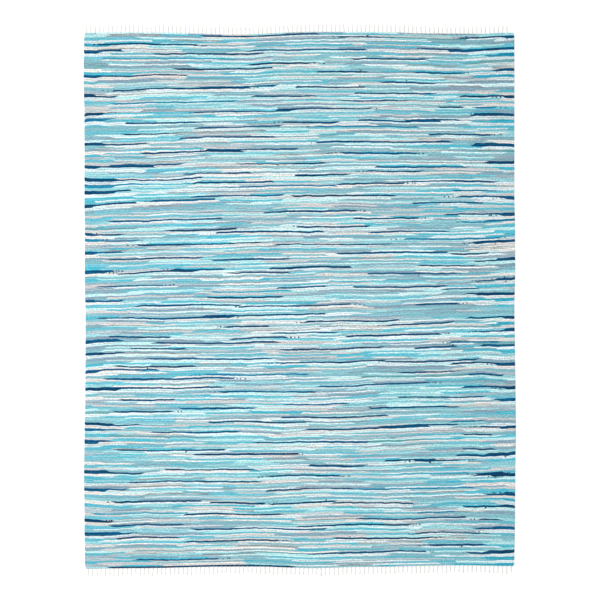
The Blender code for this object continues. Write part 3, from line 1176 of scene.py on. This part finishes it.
# Half of a stitch's width in warps, and its reach in rows, each from its full to its faded edge
STITCH_HALF = (0.035, 0.075)
STITCH_REACH = (0.30, 0.44)
STITCH_STRENGTH = 0.15
# A Mix node has number, vector and colour sockets of the same names, so these go by number
MIX_SHARE, MIX_FIRST, MIX_SECOND, MIX_RESULT = 0, 6, 7, 2


def add_node(tree, kind, **settings):
    """A new node with its settings."""
    node = tree.nodes.new(kind)
    for name, value in settings.items():
        setattr(node, name, value)
    return node


def plug(tree, socket, value):
    """Link an output to a socket, or set the socket to a plain value."""
    if isinstance(value, bpy.types.NodeSocket):
        tree.links.new(value, socket)
    else:
        socket.default_value = value


def feed(tree, node, **inputs):
    """Plug values into a node's inputs by name, with _ for each space."""
    for name, value in inputs.items():
        plug(tree, node.inputs[name.replace("_", " ")], value)
    return node


def calculate(tree, operation, first, second=0.5, third=0.5):
    """One step of arithmetic on numbers or outputs."""
    node = add_node(tree, "ShaderNodeMath", operation=operation)
    for socket, value in zip(node.inputs, (first, second, third)):
        plug(tree, socket, value)
    return node.outputs[0]


def ramp(tree, value, low, high, start=0.0, stop=1.0):
    """From start to stop, smoothly, as the value goes from low to high."""
    node = add_node(tree, "ShaderNodeMapRange", interpolation_type="SMOOTHSTEP")
    feed(tree, node, Value=value, From_Min=low, From_Max=high, To_Min=start, To_Max=stop)
    return node.outputs["Result"]


def blend(tree, share, first, second, blend_type="MIX"):
    """One colour over another by a share."""
    node = add_node(tree, "ShaderNodeMix", data_type="RGBA", blend_type=blend_type)
    for index, value in ((MIX_SHARE, share), (MIX_FIRST, first), (MIX_SECOND, second)):
        plug(tree, node.inputs[index], value)
    return node.outputs[MIX_RESULT]


def shaded(tree, colour, shade):
    """A colour made lighter or darker by a number."""
    grey = feed(tree, add_node(tree, "ShaderNodeCombineColor"), Red=shade, Green=shade, Blue=shade)
    return blend(tree, 1.0, colour, grey.outputs["Color"], "MULTIPLY")


def roughen(tree, shader, height, strength, distance):
    """Give a finish its fine relief."""
    bump = add_node(tree, "ShaderNodeBump")
    feed(tree, bump, Strength=strength, Distance=distance, Height=height)
    tree.links.new(bump.outputs["Normal"], shader.inputs["Normal"])


def clouds(tree, place, scale, detail=2.0, roughness=0.5):
    """Soft noise from 0 to 1."""
    node = add_node(tree, "ShaderNodeTexNoise", noise_dimensions="3D")
    feed(tree, node, Vector=place, Scale=scale, Detail=detail, Roughness=roughness)
    return node.outputs["Fac"]


def stretched(tree, place, scale):
    """A place scaled differently each way."""
    node = add_node(tree, "ShaderNodeMapping")
    feed(tree, node, Vector=place, Scale=scale)
    return node.outputs["Vector"]


def cotton_fuzz_group():
    """Fine uneven fibres: a shade to multiply a colour with, and a height for bump."""
    group = bpy.data.node_groups.new("cotton_fuzz", "ShaderNodeTree")
    group.interface.new_socket("Place", in_out="INPUT", socket_type="NodeSocketVector")
    for name in ("Fineness", "Strength"):
        group.interface.new_socket(name, in_out="INPUT", socket_type="NodeSocketFloat")
    for name in ("Shade", "Height"):
        group.interface.new_socket(name, in_out="OUTPUT", socket_type="NodeSocketFloat")
    start = group.nodes.new("NodeGroupInput").outputs
    finish = group.nodes.new("NodeGroupOutput").inputs
    fibres = clouds(group, start["Place"], start["Fineness"], 3.0, 0.65)
    centred = calculate(group, "SUBTRACT", fibres, 0.5)
    shade = calculate(group, "MULTIPLY_ADD", centred, start["Strength"], 1.0)
    group.links.new(shade, finish["Shade"])
    group.links.new(fibres, finish["Height"])
    return group


def use_group(tree, group, **inputs):
    """The outputs of a node group fed with these inputs."""
    node = add_node(tree, "ShaderNodeGroup", node_tree=group)
    return feed(tree, node, **inputs).outputs


def new_finish(name, roughness, sheen):
    """A material with a plain shader. Returns it with its node tree and shader."""
    material = bpy.data.materials.new(name)
    material.use_nodes = True
    shader = material.node_tree.nodes["Principled BSDF"]
    shader.inputs["Roughness"].default_value = roughness
    shader.inputs["Specular IOR Level"].default_value = 0.08
    shader.inputs["Sheen Weight"].default_value = sheen
    shader.inputs["Sheen Roughness"].default_value = 0.45
    return material, material.node_tree, shader


def attribute(tree, name):
    """A value stored on the mesh's face corners."""
    return add_node(tree, "ShaderNodeAttribute", attribute_name=name, attribute_type="GEOMETRY")


def folded_strip(tree, strip, fold, depth, wander):
    """A strip's colour, with the side of its fold where the fold reaches into the row."""
    reach = calculate(tree, "MULTIPLY_ADD", strip.outputs["Alpha"], 2.0, -1.0)
    late = calculate(tree, "SUBTRACT", calculate(tree, "ADD", depth, reach), 1.0)
    early = calculate(tree, "SUBTRACT", calculate(tree, "MULTIPLY", reach, -1.0), depth)
    shown = calculate(tree, "ADD", calculate(tree, "MAXIMUM", late, early), wander)
    share = ramp(tree, shown, -FOLD_EDGE, FOLD_EDGE)
    return blend(tree, share, strip.outputs["Color"], fold.outputs["Color"])


def rag_finish(fuzz_group):
    """Rag strips: shades and folds from the weave, torn joins, painted shade and highlight of creases and puckers,
    painted shade in the gaps between rows, and warp stitches.
    """
    material, tree, shader = new_finish("rag_weave_strips", 0.92, 0.03)
    weave = add_node(tree, "ShaderNodeUVMap", uv_map=WEAVE_MAP).outputs["UV"]
    place = add_node(tree, "ShaderNodeTexCoord").outputs["Object"]
    parts = feed(tree, add_node(tree, "ShaderNodeSeparateXYZ"), Vector=weave).outputs
    depth = calculate(tree, "FRACT", parts["Y"])
    row = calculate(tree, "FLOOR", parts["Y"])

    # Which strip shows, and which side of its fold
    wander = clouds(tree, stretched(tree, weave, WANDER_GRAIN), 1.3, 4.0, 0.62)
    wander = calculate(tree, "MULTIPLY_ADD", wander, 0.9, -0.47)
    strip, fold = attribute(tree, "strip"), attribute(tree, "strip_fold")
    next_strip, next_fold = attribute(tree, "next_strip"), attribute(tree, "next_fold")
    here = folded_strip(tree, strip, fold, depth, wander)
    beyond = folded_strip(tree, next_strip, next_fold, depth, wander)
    torn = clouds(tree, stretched(tree, weave, TORN_GRAIN), 1.3, 3.0, 0.6)
    past = calculate(tree, "MULTIPLY_ADD", torn, FRAY_LENGTH, -FRAY_LENGTH / 2)
    past = calculate(tree, "ADD", attribute(tree, "past_join").outputs["Fac"], past)
    colour = blend(tree, ramp(tree, past, -FRAY_EDGE, FRAY_EDGE), here, beyond)

    # Painted shade and highlight of creases along the strips and of puckers, patches of fading, and fine fibres
    creases = clouds(tree, stretched(tree, weave, CREASE_GRAIN), 1.0, 3.0, 0.6)
    fading = clouds(tree, stretched(tree, weave, FADING_GRAIN), 1.0, 1.0)
    fuzz = use_group(tree, fuzz_group, Place=place, Fineness=900.0, Strength=0.22)
    puckers = clouds(tree, stretched(tree, weave, PUCKER_GRAIN), 1.0, 3.0, 0.75)
    shade = calculate(tree, "MULTIPLY_ADD", creases, 0.50, 0.75)
    shade = calculate(tree, "MULTIPLY", shade, ramp(tree, puckers, 0.28, 0.72, 0.62, 1.38))
    shade = calculate(tree, "MULTIPLY", shade, calculate(tree, "MULTIPLY_ADD", fading, 0.24, 0.88))
    shade = calculate(tree, "MULTIPLY", shade, fuzz["Shade"])
    colour = shaded(tree, colour, shade)

    # Painted shade darkens the gap between two rows
    from_crest = calculate(tree, "ABSOLUTE", calculate(tree, "SUBTRACT", depth, 0.5))
    gap_shade = ramp(tree, from_crest, GAP_SHADE_START, GAP_SHADE_END, 0.0, GAP_SHADE_STRENGTH)
    colour = blend(tree, gap_shade, colour, GAP_SHADE_COLOUR)

    # Every other warp crosses over a row and shows as a thin stitch
    nearest = calculate(tree, "ROUND", parts["X"])
    from_warp = calculate(tree, "ABSOLUTE", calculate(tree, "SUBTRACT", parts["X"], nearest))
    odd = calculate(tree, "MODULO", calculate(tree, "ADD", nearest, row), 2.0)
    over = calculate(tree, "LESS_THAN", odd, 0.5)
    thread = calculate(tree, "MULTIPLY", ramp(tree, from_warp, *STITCH_HALF, 1.0, 0.0), over)
    across_row = ramp(tree, from_crest, *STITCH_REACH, 1.0, 0.0)
    thread = calculate(tree, "MULTIPLY", thread, across_row)
    seen_thread = calculate(tree, "MULTIPLY", thread, STITCH_STRENGTH)
    colour = blend(tree, seen_thread, colour, STITCH_COLOUR)
    tree.links.new(colour, shader.inputs["Base Color"])

    height = calculate(tree, "MULTIPLY_ADD", puckers, 1.2, creases)
    height = calculate(tree, "MULTIPLY_ADD", thread, 0.45, height)
    height = calculate(tree, "MULTIPLY_ADD", fuzz["Height"], 0.22, height)
    roughen(tree, shader, height, strength=0.8, distance=0.0011)
    roughness = calculate(tree, "MULTIPLY_ADD", fuzz["Height"], 0.14, 0.84)
    tree.links.new(roughness, shader.inputs["Roughness"])
    return material


def cotton_finish(fuzz_group):
    """Twisted off-white cotton of the warp ends, with painted shade in the grooves of its twist."""
    material, tree, shader = new_finish("cotton_warp_ends", 0.90, 0.10)
    place = add_node(tree, "ShaderNodeTexCoord").outputs["Object"]
    twist = add_node(tree, "ShaderNodeTexWave", wave_type="BANDS", bands_direction="DIAGONAL")
    feed(tree, twist, Vector=place, Scale=150.0, Distortion=1.0, Detail=1.0)
    fuzz = use_group(tree, fuzz_group, Place=place, Fineness=1400.0, Strength=0.25)
    # The twist's diagonal bands paint the cotton darker where the shade of its grooves falls
    colour = blend(tree, twist.outputs["Fac"], COTTON_DARK, COTTON_LIGHT)
    tree.links.new(shaded(tree, colour, fuzz["Shade"]), shader.inputs["Base Color"])
    height = calculate(tree, "MULTIPLY_ADD", fuzz["Height"], 0.3, twist.outputs["Fac"])
    roughen(tree, shader, height, strength=0.6, distance=0.0005)
    return material


def floor_finish():
    """A pale matt floor."""
    material, _, shader = new_finish("pale_floor", 0.85, 0.0)
    shader.inputs["Base Color"].default_value = FLOOR_COLOUR
    shader.inputs["Specular IOR Level"].default_value = 0.0
    return material


# ---- The studio ---------------------------------------------------------------------------
def lay_floor():
    """A wide flat floor under the rug."""
    bpy.ops.object.select_all(action="DESELECT")
    bpy.ops.mesh.primitive_plane_add(size=FLOOR_SIZE, location=(0.0, 0.0, -FLOOR_GAP))
    ground = bpy.context.object
    bpy.ops.object.transform_apply(location=True, rotation=True, scale=True)
    ground.name = "floor"
    ground.data.materials.append(floor_finish())
    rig.stage(ground)
    return ground


def add_lamp(name, kind, energy, place, aim, **settings):
    """A soft lamp at a place, facing a point."""
    lamp = bpy.data.lights.new(name, kind)
    lamp.energy = energy
    for setting, value in settings.items():
        setattr(lamp, setting, value)
    holder = bpy.data.objects.new(name, lamp)
    holder.location = place
    holder.rotation_euler = (Vector(aim) - holder.location).to_track_quat("-Z", "Y").to_euler()
    bpy.context.collection.objects.link(holder)


def light_studio():
    """Even light from all round, a soft sun from above, and a long lamp beside the left edge."""
    world = bpy.data.worlds.new("studio")
    world.use_nodes = True
    background = world.node_tree.nodes["Background"]
    background.inputs["Color"].default_value = (1.0, 1.0, 1.0, 1.0)
    background.inputs["Strength"].default_value = 0.66
    bpy.context.scene.world = world
    add_lamp("top_light", "SUN", 1.00, (-1.5, 3.0, 5.0), (0.0, 0.0, 0.0), angle=math.radians(50))
    add_lamp(
        "side_lamp", "AREA", 110.0, (-1.9, 0.0, 3.6), (-0.5, 0.0, 0.0),
        shape="RECTANGLE", size=1.4, size_y=7.0,
    )


def set_camera():
    """Straight above the photo's middle, so far up that its edges look flat."""
    lens = bpy.data.cameras.new("overhead")
    lens.sensor_width = SENSOR_WIDTH
    lens.lens = SENSOR_WIDTH * CAMERA_HEIGHT / VIEW_WIDTH
    lens.clip_end = 100.0
    camera = bpy.data.objects.new("overhead", lens)
    camera.location = (MIDDLE_X + VIEW_MIDDLE_X, MIDDLE_Y + VIEW_MIDDLE_Y, CAMERA_HEIGHT)
    bpy.context.collection.objects.link(camera)
    bpy.context.scene.camera = camera
    bpy.context.scene.view_settings.view_transform = "Standard"


# ---- Putting it together ------------------------------------------------------------------
floor = lay_floor()
light_studio()
set_camera()
fuzz = cotton_fuzz_group()
rag = rag_finish(fuzz)
cotton = cotton_finish(fuzz)

trim = {}
for fringe in FRINGES:
    edge_row = outer_row(fringe.node.replace("fringe", "edge_row"), fringe.row, rag, fringe.node)
    strands = fringe_strands(fringe.node.replace("fringe", "strands"), fringe, cotton)
    trim[0 if fringe.row == 0 else BANDS - 1] = [edge_row, strands]

trim[BANDS // 2] = [rag_tufts(rag)]

turns = (WEFT_ROWS - 2) // 2
seams = [1 + 2 * round(turns * index / BANDS) for index in range(BANDS + 1)]
for index in range(BANDS):
    cloth_band(index, seams[index], seams[index + 1], rag, trim.get(index, []))

seen_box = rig.bounds()
with open("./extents.json", "w") as file:
    json.dump({"cad": [list(corner) for corner in cad_box], "seen": [list(corner) for corner in seen_box]}, file)
